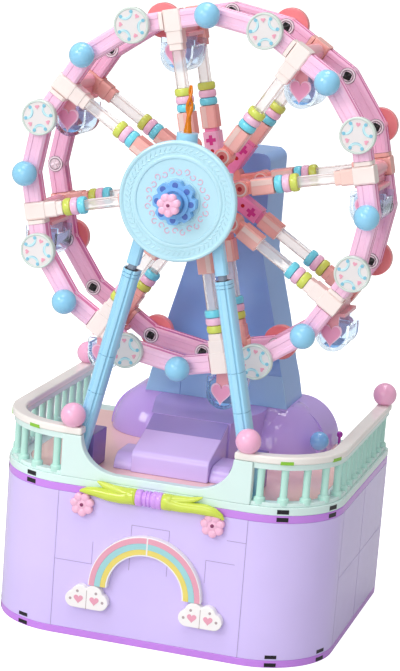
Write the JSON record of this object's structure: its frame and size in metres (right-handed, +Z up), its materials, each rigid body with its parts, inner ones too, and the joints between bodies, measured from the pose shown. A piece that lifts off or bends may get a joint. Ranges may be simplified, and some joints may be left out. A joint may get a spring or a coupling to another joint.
{
  "type": "crank ferris wheel toy",
  "caption": "Pastel building-brick ferris wheel with hanging gondolas and sliding bead rings on a railed base, turned by a hand crank through gears in its tower.",
  "frame": {"origin": "centre of the base underside", "axes": "+Z up, -Y towards the front with the rainbow, +X to the right when seen from the front; the wheel turns about Y"},
  "size_m": [0.1534, 0.1421, 0.2607],
  "materials": {
    "orchid": "glossy",
    "lavender": "glossy",
    "mint": "glossy",
    "salmon_floor": "glossy",
    "cream": "glossy",
    "ball_pink": "glossy",
    "rainbow": "glossy, striped pink, blue and yellow",
    "white": "glossy",
    "leaf_green": "glossy",
    "flower_pink": "glossy",
    "step_lilac": "glossy",
    "hill_lilac": "glossy",
    "tower_blue": "glossy",
    "cover_blue": "glossy",
    "leg_blue": "glossy",
    "flame_orange": "translucent glossy",
    "axle_grey": "satin",
    "salmon": "glossy",
    "clear": "clear glossy",
    "tee_pale": "glossy",
    "rim_pink": "glossy",
    "tile_cream": "glossy",
    "ball_blue": "glossy",
    "disc_coral": "glossy",
    "dish_aqua": "satin",
    "rosette_blue": "glossy",
    "bead_mix": "glossy, cyan, pink and yellow-green rings",
    "hanger_rose": "glossy",
    "cabin_clear_blue": "clear tinted glossy",
    "gear_grey": "satin",
    "crank_purple": "glossy"
  },
  "bodies": {
    "stand": {"base_plate": "orchid", "wall_front": "lavender", "wall_shell": "lavender", "deck_band": "orchid", "deck_edge": "mint", "deck_floor": "salmon_floor", "gateway_panel": "mint", "fence": "mint", "handrail": "cream", "rail_balls": "ball_pink", "rainbow_arch": "rainbow", "clouds": "white", "bow": "leaf_green", "wall_flowers": "flower_pink", "steps": "step_lilac", "hill": "hill_lilac", "tower": "tower_blue", "tower_cover": "cover_blue", "front_legs": "leg_blue", "front_bearing": "leg_blue", "flame_finial": "flame_orange"},
    "wheel": {"wheel_axle": "axle_grey", "wheel_hubs": "salmon", "spoke_rods": "clear", "spoke_tees": "tee_pale", "rim_front": "rim_pink", "rim_rear": "rim_pink", "rim_tiles": "tile_cream", "rim_balls": "ball_blue", "rim_discs": "disc_coral", "hub_dish": "dish_aqua", "hub_rosette": "rosette_blue", "hub_flower": "flower_pink"},
    "idler": {"idler_gear": "gear_grey"},
    "crank": {"crank": "crank_purple"},
    "knob": {"crank_knob": "ball_pink"},
    "gondola_1": {"gondola_hanger_1": "hanger_rose", "gondola_cabin_1": "cabin_clear_blue"},
    "bead_set_1": {"beads_1": "bead_mix"},
    "gondola_2": {"gondola_hanger_2": "hanger_rose", "gondola_cabin_2": "cabin_clear_blue"},
    "bead_set_2": {"beads_2": "bead_mix"},
    "gondola_3": {"gondola_hanger_3": "hanger_rose", "gondola_cabin_3": "cabin_clear_blue"},
    "bead_set_3": {"beads_3": "bead_mix"},
    "gondola_4": {"gondola_hanger_4": "hanger_rose", "gondola_cabin_4": "cabin_clear_blue"},
    "bead_set_4": {"beads_4": "bead_mix"},
    "gondola_5": {"gondola_hanger_5": "hanger_rose", "gondola_cabin_5": "cabin_clear_blue"},
    "bead_set_5": {"beads_5": "bead_mix"},
    "gondola_6": {"gondola_hanger_6": "hanger_rose", "gondola_cabin_6": "cabin_clear_blue"},
    "bead_set_6": {"beads_6": "bead_mix"},
    "gondola_7": {"gondola_hanger_7": "hanger_rose", "gondola_cabin_7": "cabin_clear_blue"},
    "bead_set_7": {"beads_7": "bead_mix"},
    "gondola_8": {"gondola_hanger_8": "hanger_rose", "gondola_cabin_8": "cabin_clear_blue"},
    "bead_set_8": {"beads_8": "bead_mix"}
  },
  "joints": [
    {"name": "wheel_spin", "type": "hinge", "parent": "stand", "child": "wheel", "pos_m": [0, 0, 0.184], "axis": [0, 1, 0], "continuous": true},
    {"name": "idler_spin", "type": "hinge", "parent": "stand", "child": "idler", "pos_m": [0, 0.042, 0.166], "axis": [0, 1, 0], "continuous": true},
    {"name": "crank_spin", "type": "hinge", "parent": "stand", "child": "crank", "pos_m": [0, 0.042, 0.1525], "axis": [0, 1, 0], "continuous": true},
    {"name": "knob_spin", "type": "hinge", "parent": "crank", "child": "knob", "pos_m": [0, 0.064, 0.1265], "axis": [0, 1, 0], "continuous": true},
    {"name": "gondola_1_swing", "type": "hinge", "parent": "wheel", "child": "gondola_1", "pos_m": [-0.0151, -0.0131, 0.25211], "axis": [0, 1, 0], "continuous": true},
    {"name": "bead_set_1_slide", "type": "slide", "parent": "wheel", "child": "bead_set_1", "axis": [-0.2164, 0, 0.9763], "range_m": [0, 0.015]},
    {"name": "gondola_2_swing", "type": "hinge", "parent": "wheel", "child": "gondola_2", "pos_m": [0.03748, -0.0131, 0.24284], "axis": [0, 1, 0], "continuous": true},
    {"name": "bead_set_2_slide", "type": "slide", "parent": "wheel", "child": "bead_set_2", "axis": [0.5373, 0, 0.8434], "range_m": [0, 0.015]},
    {"name": "gondola_3_swing", "type": "hinge", "parent": "wheel", "child": "gondola_3", "pos_m": [0.06811, -0.0131, 0.1991], "axis": [0, 1, 0], "continuous": true},
    {"name": "bead_set_3_slide", "type": "slide", "parent": "wheel", "child": "bead_set_3", "axis": [0.9763, 0, 0.2164], "range_m": [0, 0.015]},
    {"name": "gondola_4_swing", "type": "hinge", "parent": "wheel", "child": "gondola_4", "pos_m": [0.05884, -0.0131, 0.14652], "axis": [0, 1, 0], "continuous": true},
    {"name": "bead_set_4_slide", "type": "slide", "parent": "wheel", "child": "bead_set_4", "axis": [0.8434, 0, -0.5373], "range_m": [-0.015, 0]},
    {"name": "gondola_5_swing", "type": "hinge", "parent": "wheel", "child": "gondola_5", "pos_m": [0.0151, -0.0131, 0.11589], "axis": [0, 1, 0], "continuous": true},
    {"name": "bead_set_5_slide", "type": "slide", "parent": "wheel", "child": "bead_set_5", "axis": [0.2164, 0, -0.9763], "range_m": [-0.015, 0]},
    {"name": "gondola_6_swing", "type": "hinge", "parent": "wheel", "child": "gondola_6", "pos_m": [-0.03748, -0.0131, 0.12516], "axis": [0, 1, 0], "continuous": true},
    {"name": "bead_set_6_slide", "type": "slide", "parent": "wheel", "child": "bead_set_6", "axis": [-0.5373, 0, -0.8434], "range_m": [-0.015, 0]},
    {"name": "gondola_7_swing", "type": "hinge", "parent": "wheel", "child": "gondola_7", "pos_m": [-0.06811, -0.0131, 0.1689], "axis": [0, 1, 0], "continuous": true},
    {"name": "bead_set_7_slide", "type": "slide", "parent": "wheel", "child": "bead_set_7", "axis": [-0.9763, 0, -0.2164], "range_m": [-0.015, 0]},
    {"name": "gondola_8_swing", "type": "hinge", "parent": "wheel", "child": "gondola_8", "pos_m": [-0.05884, -0.0131, 0.22148], "axis": [0, 1, 0], "continuous": true},
    {"name": "bead_set_8_slide", "type": "slide", "parent": "wheel", "child": "bead_set_8", "axis": [-0.8434, 0, 0.5373], "range_m": [0, 0.015]}
  ],
  "couplings": [
    {"joint": "idler_spin", "follows": "wheel_spin", "ratio": -1},
    {"joint": "crank_spin", "follows": "wheel_spin", "ratio": 2},
    {"joint": "gondola_1_swing", "follows": "wheel_spin", "ratio": -1},
    {"joint": "gondola_2_swing", "follows": "wheel_spin", "ratio": -1},
    {"joint": "gondola_3_swing", "follows": "wheel_spin", "ratio": -1},
    {"joint": "gondola_4_swing", "follows": "wheel_spin", "ratio": -1},
    {"joint": "gondola_5_swing", "follows": "wheel_spin", "ratio": -1},
    {"joint": "gondola_6_swing", "follows": "wheel_spin", "ratio": -1},
    {"joint": "gondola_7_swing", "follows": "wheel_spin", "ratio": -1},
    {"joint": "gondola_8_swing", "follows": "wheel_spin", "ratio": -1}
  ]
}
